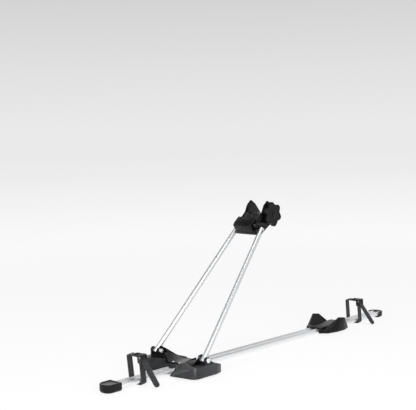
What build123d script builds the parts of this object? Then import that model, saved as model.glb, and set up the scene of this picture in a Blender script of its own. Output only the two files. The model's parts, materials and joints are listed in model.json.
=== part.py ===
import os
from math import cos, radians, sin

from build123d import *

# Upright bike carrier for roof bars, in millimetres, +Z up.
# X runs along the rail towards the rear wheel, Y across it, and Z = 0 is the surface that it rests on.
# The origin is under the middle of the rail. "Near" is the -Y side and "far" the +Y side.

os.makedirs("parts", exist_ok=True)

# Running and seating clearances
running_gap = 0.05
seat_gap = 0.2
body_gap = 0.4

# Rail: two rounded lobes joined by a web
rail_length = 1356.0
rail_bottom = 6.0
lobe_radius = 7.5
lobe_offset = 14.5
web_top = 11.5
rail_wall = 1.8
rail_half_width = lobe_offset + lobe_radius

# End caps
cap_wall = 3.0
front_cap_overlap = 37.0
rear_cap_overlap = 19.0
cap_nose = 16.0
front_cap_height = 26.0
rear_cap_height = 22.5
cap_corner = 23.0
cap_round = 9.0
cap_top_round = 2.0
cap_plug_length = 25.0
cap_screw_radius = 2.0
cap_screw_head = 3.6
cap_screw_sunk = 1.0
cap_screw_x = 11.0

# Pivot base, as distances from its pivot axis
pivot_from_end = 291.0
pivot_x = pivot_from_end - rail_length / 2
pivot_z = 53.0
base_nose = 69.0
base_front = 55.0
base_rear = 63.0
base_half_front = 119.0
base_rear_taper = 7.0
base_half_rear = base_half_front - base_rear_taper
base_bottom = 5.0
base_shoulder = 38.0
base_wall = 3.5
base_corner = 20.0
base_rear_corner = 6.0
bridge_height = 27.0
bridge_half_width = 30.0
shoulder_half_width = 44.0
rake_height = 15.0
rake_depth = 24.0
rear_edge_height = 30.0

# Lugs that carry the arms
lug_radius = 9.5
lug_inset = 0.5
lug_thickness = 6.0
lug_gap = 22.5
lug_rear_run = 36.0
outer_lug_outside = base_half_front - lug_inset
outer_lug_inside = outer_lug_outside - lug_thickness
inner_lug_outside = outer_lug_inside - lug_gap
inner_lug_inside = inner_lug_outside - lug_thickness
arm_foot_y = (outer_lug_inside + inner_lug_outside) / 2

# Base cover between the inner lugs
cover_ridge = 66.0
cover_valley = 31.0
cover_front_run = 47.0
cover_rear_run = 40.0
cover_ridge_front = 20.0
cover_ridge_rear = 8.0
cover_valley_half = 26.0
cover_ridge_width = 6.0
nut_room_half = 12.0
nut_room_width = 24.0
cover_screw_x = -13.0
cover_screw_y = 14.0
cover_screw_radius = 2.0
cover_screw_head = 4.5
cover_screw_head_height = 2.0
cover_screw_length = 8.0

# Arms
arm_radius = 8.0
arm_wall = 1.6
head_pivot_x = -63.0
head_pivot_z = 399.0
arm_top_y = 53.6
arm_foot_tail = 8.0
arm_top_tail = 14.0
plug_length = 30.0
slot_width = 5.0
slot_length = 14.0

# Pivot hardware
bolt_radius = 4.0
bolt_head_height = 4.6
bolt_thread_tail = 1.0
sleeve_radius = 6.0
nut_flats = 13.0
nut_height = 6.5
washer_radius = 8.5
washer_thickness = 1.6
top_washer_radius = 7.5
top_washer_thickness = 0.8

# Frame clamp, about the centre line of the gripped tube
tube_centre_x = -32.0
tube_centre_z = 438.0
tube_slope = 50.64
grip_radius = 30.0
pad_thickness = 2.0
side_pad_half = 14.0
cradle_half_angle = 50.0
body_half_width = 43.0
beam_half_width = 31.0
beam_depth = 58.0
jaw_thickness = 6.5
jaw_top = 64.0
jaw_front = 13.0
jaw_crest = 26.0
jaw_rear = 62.0
pad_rear = 40.0
body_front = 26.0
body_rear = 34.0
barrel_radius = 11.0
hinge_u = -40.0
hinge_y = 35.0
hinge_pin_radius = 3.0
knuckle_radius = 6.5
spindle_u = 36.0
spindle_s = -13.0
spindle_radius = 4.0
spindle_tail = 16.5
spindle_chamfer = 1.0
spindle_nut_height = 8.0
knob_radius = 41.0
knob_lobes = 6
knob_lobe_radius = 11.5
knob_thickness = 14.0
knob_core_radius = 32.0
knob_hub_radius = 9.0
knob_hub_height = 1.6
knob_round = 2.0
knob_washer = 1.5
washer_outer = 7.0
jaw_slot_rise = 3.2
nut_across_flats = 16.0
lock_radius = 7.0
lock_depth = 8.0
lock_proud = 1.5
key_slot_length = 8.0
key_slot_width = 1.6

# Rear wheel tray
tray_from_end = 399.0
tray_front_x = rail_length / 2 - tray_from_end
tray_length = 146.0
tray_half_width = 60.0
tray_foot_half = 30.0
tray_heel_half = 45.0
tray_toe_half = 50.0
tray_toe_run = 18.0
tray_cheek_run = 60.0
tray_tip_slope = 9.0
tray_wing_top = 55.0
tray_top_front = 72.0
tray_top_rear = 108.0
tray_saddle_top = 25.0
tray_wall = 4.0
tray_tip_bevel = 1.0
tray_plate_thickness = 3.0
tray_slide_gap = 0.3
tray_screw_radius = 2.5
tray_screw_head = 5.0
tray_screw_head_height = 1.25
tray_screw_spread = 80.0
tray_screw_y = 28.0
tray_plate_half_width = 33.0
tray_plate_length = 100.0
tray_screw_length = 14.0

# Straps and buckles
strap_width = 19.0
strap_thickness = 3.2
strap_half_width = 27.5
strap_top = 89.0
strap_rail_gap = 1.4
strap_corner = 9.0
front_strap_from_end = 121.0
rear_strap_from_end = 149.0
front_strap_x = front_strap_from_end - rail_length / 2
rear_strap_x = rail_length / 2 - rear_strap_from_end
front_strap_lean = 6.0
rear_strap_lean = 5.0
tail_length = 101.0
tail_angle = 35.5
tail_root = 86.0
tail_round = 8.5
buckle_height = 23.0
buckle_rise = 3.0
buckle_cheek = 2.6
buckle_depth = 15.0
buckle_plate = 2.5
lever_length = 33.0
lever_thickness = 3.0
lever_hub_radius = 3.2
lever_pin_radius = 1.5
lever_pin_out = 6.0
lever_pin_down = 2.5

# Steel plate and pads under the base
plate_thickness = 3.0
plate_half_length = 48.0
plate_half_width = 100.0
plate_hole_radius = 3.3
plate_hole_spacing_x = 70.0
plate_hole_spacing_y = 124.0
pad_half_length = 40.0
pad_inner_y = 74.0
pad_outer_y = 98.0
pocket_height = 18.0
pocket_front = 42.0
pocket_rear = 55.0
base_screw_radius = 2.5
base_screw_x = 30.0
base_screw_y = 36.0
base_screw_head = 4.5
base_screw_head_height = 2.5
base_screw_length = 16.0


def write(builder, name):
    """Label a finished piece and write it under its node name."""
    builder.part.label = name
    export_step(builder.part, f"parts/{name}.step")


# Directions of the clamp: u leaves the gripped tube square to it, s runs up along the tube
slope = radians(tube_slope)
u_direction = Vector(sin(slope), 0, cos(slope))
s_direction = Vector(-cos(slope), 0, sin(slope))
tube_centre = Vector(tube_centre_x, 0, tube_centre_z)


def side_plane(y):
    """Plane with u and s as its axes, at the given y, facing the near side."""
    return Plane(origin=tube_centre + Vector(0, y, 0), x_dir=u_direction, z_dir=(0, -1, 0))


def tube_plane(s):
    """Plane square to the gripped tube at the given s, with u and Y as its axes."""
    return Plane(origin=tube_centre + s_direction * s, x_dir=u_direction, z_dir=s_direction)


head_pivot = Vector(head_pivot_x, 0, head_pivot_z)
pivot_u = (head_pivot - tube_centre).dot(u_direction)
pivot_s = (head_pivot - tube_centre).dot(s_direction)


# Rail


def rail_outline(grow):
    """Draw the two-lobed section of the rail, grown by the given distance."""
    with Locations((-lobe_offset, rail_bottom + lobe_radius), (lobe_offset, rail_bottom + lobe_radius)):
        Circle(lobe_radius + grow)
    with Locations((0, rail_bottom + web_top / 2)):
        Rectangle(2 * lobe_offset, web_top + 2 * grow)


rail_plane = Plane.YZ.offset(-rail_length / 2)
web_wall_x = lobe_offset - lobe_radius

with BuildPart() as rail:
    with BuildSketch(rail_plane):
        rail_outline(0)
        with Locations((-lobe_offset, rail_bottom + lobe_radius), (lobe_offset, rail_bottom + lobe_radius)):
            Circle(lobe_radius - rail_wall, mode=Mode.SUBTRACT)
        with Locations((0, rail_bottom + web_top / 2)):
            Rectangle(2 * (web_wall_x - rail_wall / 2), web_top - 2 * rail_wall, mode=Mode.SUBTRACT)
    extrude(amount=rail_length)
    with BuildSketch(Plane.XY.offset(rail_bottom)):
        with Locations(
            (-rail_length / 2 + cap_screw_x, 0),
            (rail_length / 2 - cap_screw_x, 0),
        ):
            Circle(cap_screw_radius)
    extrude(amount=rail_wall, mode=Mode.SUBTRACT)
write(rail, "rail")


# End caps: a cup over the rail's end, with two plugs in the lobes


def end_cap(side, height, overlap, open_top):
    """Make the bumper cap for the rail end on the given side, -1 front or +1 rear."""
    tip = side * (rail_length / 2 + cap_nose)
    back = side * (rail_length / 2 - overlap)
    half = rail_half_width + seat_gap + cap_wall
    with BuildPart() as cap:
        with BuildSketch(Plane.XY):
            with Locations(((tip + back) / 2, 0)):
                Rectangle(abs(tip - back), 2 * half)
            tip_corners = vertices().sort_by(Axis.X)[-2:] if side > 0 else vertices().sort_by(Axis.X)[:2]
            fillet(tip_corners, radius=cap_corner)
        extrude(amount=height)
        fillet(faces().sort_by(Axis.Z)[-1].edges(), radius=cap_top_round)
        nose_edges = faces().sort_by(Axis.Z)[0].edges().sort_by(Axis.X, reverse=side > 0)[:-1]
        fillet(nose_edges, radius=cap_round)
        with BuildSketch(Plane.YZ.offset(min(back, side * rail_length / 2))):
            rail_outline(seat_gap)
        extrude(amount=overlap, mode=Mode.SUBTRACT)
        if open_top:
            opening_half = rail_half_width - cap_wall / 2
            with BuildSketch(Plane.XY.offset(rail_bottom + lobe_radius)):
                with Locations((side * (rail_length / 2 - overlap / 2), 0)):
                    Rectangle(overlap, 2 * opening_half)
            extrude(amount=height, mode=Mode.SUBTRACT)
        with BuildSketch(Plane.YZ.offset(side * rail_length / 2)):
            with Locations(
                (-lobe_offset, rail_bottom + lobe_radius),
                (lobe_offset, rail_bottom + lobe_radius),
            ):
                Circle(lobe_radius - rail_wall - seat_gap)
        extrude(amount=-side * cap_plug_length)
        with BuildSketch(Plane.XY):
            with Locations((side * (rail_length / 2 - cap_screw_x), 0)):
                Circle(cap_screw_radius + seat_gap)
        extrude(amount=rail_bottom, mode=Mode.SUBTRACT)
        with BuildSketch(Plane.XY):
            with Locations((side * (rail_length / 2 - cap_screw_x), 0)):
                Circle(cap_screw_head + seat_gap)
        extrude(amount=cap_wall, mode=Mode.SUBTRACT)
    return cap


write(end_cap(-1, front_cap_height, front_cap_overlap, False), "front_end_cap")
write(end_cap(1, rear_cap_height, rear_cap_overlap, True), "rear_end_cap")

with BuildPart() as end_cap_screws:
    for side in (-1, 1):
        with BuildSketch(Plane.XY.offset(cap_screw_sunk)):
            with Locations((side * (rail_length / 2 - cap_screw_x), 0)):
                Circle(cap_screw_head)
        extrude(amount=cap_wall - cap_screw_sunk)
        with BuildSketch(Plane.XY.offset(cap_wall)):
            with Locations((side * (rail_length / 2 - cap_screw_x), 0)):
                Circle(cap_screw_radius)
        extrude(amount=rail_bottom)
write(end_cap_screws, "end_cap_screws")


# Base housing: a skirt that bridges the rail and carries the outer lugs

base_nose_x = pivot_x - base_nose
base_front_x = pivot_x - base_front
base_rear_x = pivot_x + base_rear


def base_plan():
    """Draw the plan of the base."""
    Polygon(
        (base_nose_x, -bridge_half_width),
        (base_front_x, -base_half_front),
        (pivot_x + lug_rear_run, -base_half_front),
        (base_rear_x, -base_half_rear),
        (base_rear_x, base_half_rear),
        (pivot_x + lug_rear_run, base_half_front),
        (base_front_x, base_half_front),
        (base_nose_x, bridge_half_width),
        align=None,
    )
    corners = [v for v in vertices() if abs(v.Y) > bridge_half_width + base_wall]
    fillet([v for v in corners if v.X < pivot_x], radius=base_corner)
    fillet([v for v in corners if v.X > pivot_x + lug_rear_run + base_wall], radius=base_rear_corner)


def base_section():
    """Draw the front view of the base: low over the rail, high at the sides."""
    Polygon(
        (-base_half_front, 0),
        (-base_half_front, base_shoulder),
        (-shoulder_half_width, base_shoulder),
        (-bridge_half_width, bridge_height),
        (bridge_half_width, bridge_height),
        (shoulder_half_width, base_shoulder),
        (base_half_front, base_shoulder),
        (base_half_front, 0),
        align=None,
    )


def rake_plane():
    """Plane of the raked front face on the near side, facing forwards and up."""
    low = Vector(base_nose_x, -bridge_half_width, base_bottom)
    crest = low + Vector(rake_depth, 0, rake_height)
    corner = Vector(base_front_x, -base_half_front, base_shoulder)
    normal = (crest - low).cross(corner - low).normalized()
    if normal.X > 0:
        normal = normal * -1
    return Plane(origin=low, z_dir=normal)


section_start = Plane.YZ.offset(base_nose_x)
section_length = base_nose + base_rear


def lug_profile():
    """Draw the side view of a lug: round on top, with a long rear flank."""
    Polygon(
        (pivot_x - lug_radius, base_bottom + base_wall),
        (pivot_x - lug_radius, pivot_z),
        (pivot_x + lug_radius, pivot_z),
        (pivot_x + lug_rear_run, base_shoulder - base_wall),
        (pivot_x + lug_rear_run, base_bottom + base_wall),
        align=None,
    )
    with Locations((pivot_x, pivot_z)):
        Circle(lug_radius)


with BuildPart() as base_housing:
    with BuildSketch(Plane.XY.offset(base_bottom)):
        base_plan()
    extrude(amount=base_shoulder)
    with BuildSketch(section_start):
        base_section()
    extrude(amount=section_length, mode=Mode.INTERSECT)
    with BuildSketch(Plane.XZ.offset(-base_half_front)):
        Polygon(
            (pivot_x + lug_rear_run, base_shoulder),
            (base_rear_x, rear_edge_height),
            (base_rear_x, base_shoulder),
            align=None,
        )
    extrude(amount=2 * base_half_front, mode=Mode.SUBTRACT)
    # One half is raked at the front and mirrored
    split(bisect_by=Plane.XZ, keep=Keep.TOP)
    split(bisect_by=rake_plane(), keep=Keep.BOTTOM)
    mirror(about=Plane.XZ)
    for side in (-1, 1):
        with BuildSketch(Plane.XZ.offset(-side * outer_lug_inside)):
            lug_profile()
        extrude(amount=-side * (outer_lug_outside - outer_lug_inside))
    # Pockets below leave room for the bolts of the roof bar brackets
    for side in (-1, 1):
        with BuildSketch(Plane.XY.offset(base_bottom)):
            with Locations(
                (
                    pivot_x + (pocket_rear - pocket_front) / 2,
                    side * (plate_half_width + shoulder_half_width) / 2,
                )
            ):
                Rectangle(pocket_front + pocket_rear, plate_half_width - shoulder_half_width)
        extrude(amount=pocket_height - base_bottom, mode=Mode.SUBTRACT)
    with BuildSketch(Plane.XY.offset(base_bottom)):
        with Locations((pivot_x, 0)):
            Rectangle(2 * (plate_half_length + seat_gap), 2 * (plate_half_width + seat_gap))
    extrude(amount=rail_bottom - base_bottom, mode=Mode.SUBTRACT)
    with BuildSketch(section_start):
        rail_outline(seat_gap)
        with Locations((0, rail_bottom)):
            Rectangle(2 * (rail_half_width + seat_gap), 2 * lobe_radius)
    extrude(amount=section_length, mode=Mode.SUBTRACT)
    with BuildSketch(Plane.XZ.offset(-outer_lug_outside)):
        with Locations((pivot_x, pivot_z)):
            Circle(bolt_radius + running_gap)
    extrude(amount=2 * outer_lug_outside, mode=Mode.SUBTRACT)
    with BuildSketch(Plane.XY.offset(rail_bottom)):
        with Locations((pivot_x, 0)):
            with GridLocations(2 * base_screw_x, 2 * base_screw_y, 2, 2):
                Circle(base_screw_radius)
    extrude(amount=base_screw_length - plate_thickness, mode=Mode.SUBTRACT)
    with BuildSketch(Plane.XY.offset(bridge_height)):
        with Locations((pivot_x + cover_screw_x, -cover_screw_y), (pivot_x + cover_screw_x, cover_screw_y)):
            Circle(cover_screw_radius)
    extrude(amount=-(cover_screw_length - (cover_valley - bridge_height)), mode=Mode.SUBTRACT)
write(base_housing, "base_housing")


# Base cover: a winged shell over the bridge that carries the inner lugs

cover_start = Plane.YZ.offset(pivot_x - cover_front_run)

with BuildPart() as base_cover:
    with BuildSketch(cover_start):
        Polygon(
            (0, bridge_height),
            (-bridge_half_width, bridge_height),
            (-shoulder_half_width, base_shoulder),
            (-inner_lug_outside, base_shoulder),
            (-inner_lug_outside, cover_ridge),
            (-inner_lug_outside + cover_ridge_width, cover_ridge),
            (-cover_valley_half, cover_valley),
            (0, cover_valley),
            align=None,
        )
    extrude(amount=cover_front_run + cover_rear_run)
    with BuildSketch(Plane.XZ):
        Polygon(
            (pivot_x - cover_front_run, bridge_height),
            (pivot_x - cover_front_run, cover_valley),
            (pivot_x - cover_ridge_front, cover_ridge),
            (pivot_x + cover_ridge_rear, cover_ridge),
            (pivot_x + lug_radius + cover_ridge_width, pivot_z + cover_ridge_width),
            (pivot_x + cover_rear_run, cover_valley),
            (pivot_x + cover_rear_run, bridge_height),
            align=None,
        )
    extrude(amount=inner_lug_outside, mode=Mode.INTERSECT)
    split(bisect_by=rake_plane().offset(-base_wall / 2), keep=Keep.BOTTOM)
    with BuildSketch(Plane.XZ.offset(inner_lug_inside)):
        with Locations((pivot_x, (base_shoulder + pivot_z + nut_height) / 2)):
            Rectangle(2 * nut_room_half, pivot_z + nut_height - base_shoulder)
    extrude(amount=-nut_room_width, mode=Mode.SUBTRACT)
    with BuildSketch(Plane.XZ.offset(inner_lug_inside)):
        with Locations((pivot_x, pivot_z)):
            Circle(bolt_radius + running_gap)
    extrude(amount=lug_thickness, mode=Mode.SUBTRACT)
    mirror(about=Plane.XZ)
    with BuildSketch(Plane.XY.offset(bridge_height)):
        with Locations((pivot_x + cover_screw_x, -cover_screw_y), (pivot_x + cover_screw_x, cover_screw_y)):
            Circle(cover_screw_radius + seat_gap)
    extrude(amount=cover_valley - bridge_height, mode=Mode.SUBTRACT)
write(base_cover, "base_cover")

with BuildPart() as base_cover_screws:
    for side in (-1, 1):
        with BuildSketch(Plane.XY.offset(cover_valley)):
            with Locations((pivot_x + cover_screw_x, side * cover_screw_y)):
                Circle(cover_screw_head)
        extrude(amount=cover_screw_head_height)
        with BuildSketch(Plane.XY.offset(cover_valley)):
            with Locations((pivot_x + cover_screw_x, side * cover_screw_y)):
                Circle(cover_screw_radius)
        extrude(amount=-cover_screw_length)
write(base_cover_screws, "base_cover_screws")


# Steel plate, rubber pads and screws under the base

with BuildPart() as cross_plate:
    with BuildSketch(Plane.XY.offset(rail_bottom - plate_thickness)):
        with Locations((pivot_x, 0)):
            RectangleRounded(2 * plate_half_length, 2 * plate_half_width, plate_thickness)
            with GridLocations(plate_hole_spacing_x, plate_hole_spacing_y, 2, 2):
                Circle(plate_hole_radius, mode=Mode.SUBTRACT)
            with GridLocations(2 * base_screw_x, 2 * base_screw_y, 2, 2):
                Circle(base_screw_radius + seat_gap, mode=Mode.SUBTRACT)
    extrude(amount=plate_thickness)
write(cross_plate, "cross_plate")

with BuildPart() as base_pads:
    for side in (-1, 1):
        with BuildSketch(Plane.XY):
            with Locations((pivot_x, side * (pad_inner_y + pad_outer_y) / 2)):
                RectangleRounded(2 * pad_half_length, pad_outer_y - pad_inner_y, plate_thickness)
        extrude(amount=rail_bottom - plate_thickness)
write(base_pads, "base_pads")

with BuildPart() as base_screws:
    screw_seat = rail_bottom - plate_thickness
    with BuildSketch(Plane.XY.offset(screw_seat - base_screw_head_height)):
        with Locations((pivot_x, 0)):
            with GridLocations(2 * base_screw_x, 2 * base_screw_y, 2, 2):
                Circle(base_screw_head)
    extrude(amount=base_screw_head_height)
    with BuildSketch(Plane.XY.offset(screw_seat)):
        with Locations((pivot_x, 0)):
            with GridLocations(2 * base_screw_x, 2 * base_screw_y, 2, 2):
                Circle(base_screw_radius)
    extrude(amount=base_screw_length)
write(base_screws, "base_screws")


# Arms: two tubes that lean in towards the clamp


def arm_axis(side):
    """Return the foot pivot, the top pivot and the direction of the arm on one side."""
    foot = Vector(pivot_x, side * arm_foot_y, pivot_z)
    top = Vector(head_pivot_x, side * arm_top_y, head_pivot_z)
    return foot, top, (top - foot).normalized()


def across(side, y, x, z):
    """Plane facing outwards on one side, at distance y from the middle, with its origin at x, z."""
    return Plane(origin=(x, side * y, z), x_dir=(1, 0, 0), z_dir=(0, side, 0))


slot_tilt = Vector(head_pivot_x - pivot_x, 0, head_pivot_z - pivot_z).get_angle(Vector(1, 0, 0))


def arm(side):
    """Make the arm tube on one side."""
    foot, top, direction = arm_axis(side)
    start = foot - direction * arm_foot_tail
    length = (top - foot).length + arm_foot_tail + arm_top_tail
    with BuildPart() as tube:
        with BuildSketch(Plane(origin=start, z_dir=direction)):
            Circle(arm_radius)
        extrude(amount=length)
        fillet(edges().group_by(Axis.Z)[-1], radius=arm_wall / 2)
        with BuildSketch(Plane(origin=start, z_dir=direction)):
            Circle(arm_radius - arm_wall)
        extrude(amount=length, mode=Mode.SUBTRACT)
        with BuildSketch(across(side, arm_foot_y - 2 * arm_radius, pivot_x, pivot_z)):
            Circle(sleeve_radius)
        extrude(amount=4 * arm_radius, mode=Mode.SUBTRACT)
        with BuildSketch(across(side, arm_top_y - 2 * arm_radius, head_pivot_x, head_pivot_z)):
            Circle(bolt_radius)
        extrude(amount=2 * arm_radius, mode=Mode.SUBTRACT)
        with BuildSketch(across(side, arm_top_y, head_pivot_x, head_pivot_z)):
            SlotOverall(slot_length, slot_width, rotation=-side * slot_tilt)
        extrude(amount=2 * arm_radius, mode=Mode.SUBTRACT)
    return tube


write(arm(-1), "left_arm")
write(arm(1), "right_arm")

plug_radius = arm_radius - arm_wall

with BuildPart() as arm_foot_plugs:
    for side in (-1, 1):
        foot, top, direction = arm_axis(side)
        with BuildSketch(Plane(origin=foot - direction * arm_foot_tail, z_dir=direction)):
            Circle(plug_radius)
        extrude(amount=plug_length)
    with BuildSketch(Plane.XZ.offset(-arm_foot_y - 2 * arm_radius)):
        with Locations((pivot_x, pivot_z)):
            Circle(sleeve_radius)
    extrude(amount=2 * (arm_foot_y + 2 * arm_radius), mode=Mode.SUBTRACT)
write(arm_foot_plugs, "arm_foot_plugs")

with BuildPart() as arm_top_plugs:
    for side in (-1, 1):
        foot, top, direction = arm_axis(side)
        with BuildSketch(Plane(origin=top + direction * (arm_top_tail - arm_wall), z_dir=direction)):
            Circle(plug_radius)
        extrude(amount=-plug_length)
    with BuildSketch(Plane.XZ.offset(-arm_top_y)):
        with Locations((head_pivot_x, head_pivot_z)):
            Circle(bolt_radius)
    extrude(amount=2 * arm_top_y, mode=Mode.SUBTRACT)
write(arm_top_plugs, "arm_top_plugs")


# Foot pivots: bolt, nut, sleeve and two washers on each side

with BuildPart() as arm_foot_bolts:
    for side in (-1, 1):
        with BuildSketch(across(side, outer_lug_outside, pivot_x, pivot_z)):
            RegularPolygon(radius=nut_flats / 2, side_count=6, major_radius=False)
        extrude(amount=bolt_head_height)
        with BuildSketch(across(side, inner_lug_inside - nut_height - bolt_thread_tail, pivot_x, pivot_z)):
            Circle(bolt_radius)
        extrude(amount=outer_lug_outside - inner_lug_inside + nut_height + bolt_thread_tail)
write(arm_foot_bolts, "arm_foot_bolts")

with BuildPart() as arm_foot_nuts:
    for side in (-1, 1):
        with BuildSketch(across(side, inner_lug_inside, pivot_x, pivot_z)):
            RegularPolygon(radius=nut_flats / 2, side_count=6, major_radius=False)
            Circle(bolt_radius, mode=Mode.SUBTRACT)
        extrude(amount=-nut_height)
write(arm_foot_nuts, "arm_foot_nuts")

washer_inner_start = inner_lug_outside + seat_gap
washer_outer_start = outer_lug_inside - seat_gap - washer_thickness
sleeve_start = washer_inner_start + washer_thickness + seat_gap
sleeve_end = washer_outer_start - seat_gap

with BuildPart() as arm_foot_sleeves:
    for side in (-1, 1):
        with BuildSketch(across(side, sleeve_start, pivot_x, pivot_z)):
            Circle(sleeve_radius)
            Circle(bolt_radius + running_gap, mode=Mode.SUBTRACT)
        extrude(amount=sleeve_end - sleeve_start)
write(arm_foot_sleeves, "arm_foot_sleeves")

with BuildPart() as arm_foot_washers:
    for side in (-1, 1):
        for start in (washer_inner_start, washer_outer_start):
            with BuildSketch(across(side, start, pivot_x, pivot_z)):
                Circle(washer_radius)
                Circle(bolt_radius + running_gap, mode=Mode.SUBTRACT)
            extrude(amount=washer_thickness)
write(arm_foot_washers, "arm_foot_washers")


# Frame clamp


def jaw_side():
    """Draw the side view of a jaw, in u and s."""
    Polygon(
        (-beam_half_width, jaw_front),
        (side_pad_half, jaw_front + cap_wall),
        (spindle_u, jaw_crest),
        (jaw_top - knuckle_radius, jaw_crest),
        (jaw_top, spindle_radius),
        (jaw_top, -body_rear),
        (spindle_u + barrel_radius, -jaw_rear),
        (spindle_u, -jaw_rear),
        (side_pad_half, -pad_rear),
        (-beam_half_width, -body_rear),
        align=None,
    )


cradle_radius = grip_radius + pad_thickness
wall_inside = cradle_radius
wall_outside = wall_inside + jaw_thickness
knuckle_gap = body_gap
knuckle_middle_front = pivot_s + barrel_radius + pad_thickness
knuckle_middle_rear = pivot_s - barrel_radius - pad_thickness
knuckle_front = jaw_front
knuckle_rear = -body_rear + pad_thickness
beam_top = -cradle_radius * cos(radians(cradle_half_angle))

with BuildPart() as clamp_body:
    with BuildSketch(side_plane(wall_outside)):
        Polygon(
            (-beam_depth, body_front - cap_wall),
            (hinge_u - knuckle_radius, body_front),
            (beam_top, body_front),
            (beam_top, -body_rear),
            (-beam_half_width, -body_rear),
            (-beam_depth, pivot_s),
            align=None,
        )
    extrude(amount=wall_outside + beam_half_width)
    with BuildSketch(side_plane(body_half_width)):
        with Locations((pivot_u, pivot_s)):
            Circle(barrel_radius)
    extrude(amount=2 * body_half_width)
    with BuildSketch(side_plane(wall_outside)):
        jaw_side()
    extrude(amount=jaw_thickness)
    with BuildSketch(tube_plane(-jaw_rear)):
        Circle(cradle_radius)
    extrude(amount=2 * jaw_rear, mode=Mode.SUBTRACT)
    # Room for the jaw's knuckles on the near side
    for rear, front in (
        (knuckle_middle_front, knuckle_front + body_front),
        (-jaw_rear, knuckle_middle_rear),
    ):
        with BuildSketch(tube_plane(rear)):
            with Locations((hinge_u, -hinge_y)):
                Circle(knuckle_radius + knuckle_gap)
        extrude(amount=front - rear, mode=Mode.SUBTRACT)
    with BuildSketch(tube_plane(knuckle_middle_rear)):
        with Locations((hinge_u, -hinge_y)):
            Circle(knuckle_radius)
    extrude(amount=knuckle_middle_front - knuckle_middle_rear)
    with BuildSketch(tube_plane(knuckle_middle_rear)):
        with Locations((hinge_u, -hinge_y)):
            Circle(hinge_pin_radius)
    extrude(amount=knuckle_middle_front - knuckle_middle_rear, mode=Mode.SUBTRACT)
    with BuildSketch(side_plane(body_half_width)):
        with Locations((pivot_u, pivot_s)):
            Circle(bolt_radius + running_gap)
    extrude(amount=2 * body_half_width, mode=Mode.SUBTRACT)
    with BuildSketch(side_plane(wall_outside)):
        with Locations((spindle_u, spindle_s)):
            Circle(spindle_radius + seat_gap)
    extrude(amount=jaw_thickness, mode=Mode.SUBTRACT)
write(clamp_body, "clamp_body")

with BuildPart() as clamp_cross_pin:
    with BuildSketch(side_plane(arm_top_y)):
        with Locations((pivot_u, pivot_s)):
            Circle(bolt_radius)
    extrude(amount=2 * arm_top_y)
write(clamp_cross_pin, "clamp_cross_pin")

with BuildPart() as arm_top_washers:
    for side in (-1, 1):
        with BuildSketch(across(side, body_half_width + seat_gap / 2, head_pivot_x, head_pivot_z)):
            Circle(top_washer_radius)
            Circle(bolt_radius + running_gap, mode=Mode.SUBTRACT)
        extrude(amount=top_washer_thickness)
write(arm_top_washers, "arm_top_washers")

jaw_knuckles = (
    (knuckle_middle_front + knuckle_gap, knuckle_front),
    (knuckle_rear, knuckle_middle_rear - knuckle_gap),
)

with BuildPart() as near_jaw:
    with BuildSketch(side_plane(-wall_inside)):
        jaw_side()
    extrude(amount=jaw_thickness)
    for rear, front in jaw_knuckles:
        with BuildSketch(tube_plane(rear)):
            with Locations((hinge_u, -hinge_y)):
                Circle(knuckle_radius)
            with Locations((hinge_u + knuckle_radius, -(wall_inside + wall_outside) / 2)):
                Rectangle(2 * knuckle_radius, jaw_thickness)
        extrude(amount=front - rear)
        with BuildSketch(tube_plane(rear)):
            with Locations((hinge_u, -hinge_y)):
                Circle(hinge_pin_radius + running_gap)
        extrude(amount=front - rear, mode=Mode.SUBTRACT)
    with BuildSketch(side_plane(-wall_inside)):
        with Locations((spindle_u, spindle_s)):
            SlotOverall(
                2 * (spindle_radius + body_gap + jaw_slot_rise),
                2 * (spindle_radius + body_gap),
            )
    extrude(amount=jaw_thickness, mode=Mode.SUBTRACT)
write(near_jaw, "near_jaw")

with BuildPart() as jaw_hinge_pin:
    with BuildSketch(tube_plane(knuckle_rear)):
        with Locations((hinge_u, -hinge_y)):
            Circle(hinge_pin_radius)
    extrude(amount=knuckle_front - knuckle_rear)
write(jaw_hinge_pin, "jaw_hinge_pin")

with BuildPart() as body_pad:
    with BuildSketch(tube_plane(-body_rear + pad_thickness)):
        Circle(cradle_radius)
        Circle(grip_radius, mode=Mode.SUBTRACT)
        with Locations((beam_top + grip_radius + cradle_radius, 0)):
            Rectangle(2 * (grip_radius + cradle_radius), 4 * cradle_radius, mode=Mode.SUBTRACT)
    extrude(amount=body_front + body_rear - 2 * pad_thickness)
write(body_pad, "body_pad")


def side_pad(side):
    """Make the rubber pad between a jaw and the gripped tube."""
    with BuildPart() as pad:
        with BuildSketch(tube_plane(-body_rear)):
            with Locations((0, side * (wall_inside + grip_radius / 2) / 2)):
                Rectangle(2 * side_pad_half, wall_inside - grip_radius / 2)
            Circle(grip_radius, mode=Mode.SUBTRACT)
        extrude(amount=body_rear + jaw_front)
    return pad


write(side_pad(1), "far_pad")
write(side_pad(-1), "near_pad")


# Knob, spindle and lock

washer_back = wall_outside + seat_gap
hub_back = washer_back + knob_washer + seat_gap
knob_back = hub_back + knob_hub_height
knob_face = knob_back + knob_thickness

with BuildPart() as thrust_washer:
    with BuildSketch(side_plane(-washer_back)):
        with Locations((spindle_u, spindle_s)):
            Circle(washer_outer)
            Circle(spindle_radius + running_gap, mode=Mode.SUBTRACT)
    extrude(amount=knob_washer)
write(thrust_washer, "thrust_washer")

with BuildPart() as clamp_spindle:
    with BuildSketch(side_plane(wall_outside + spindle_nut_height + spindle_tail)):
        with Locations((spindle_u, spindle_s)):
            Circle(spindle_radius)
    extrude(amount=wall_outside + spindle_nut_height + spindle_tail + knob_face - lock_depth)
    chamfer(edges().group_by(Axis.Y)[-1], length=spindle_chamfer)
write(clamp_spindle, "clamp_spindle")

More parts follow.
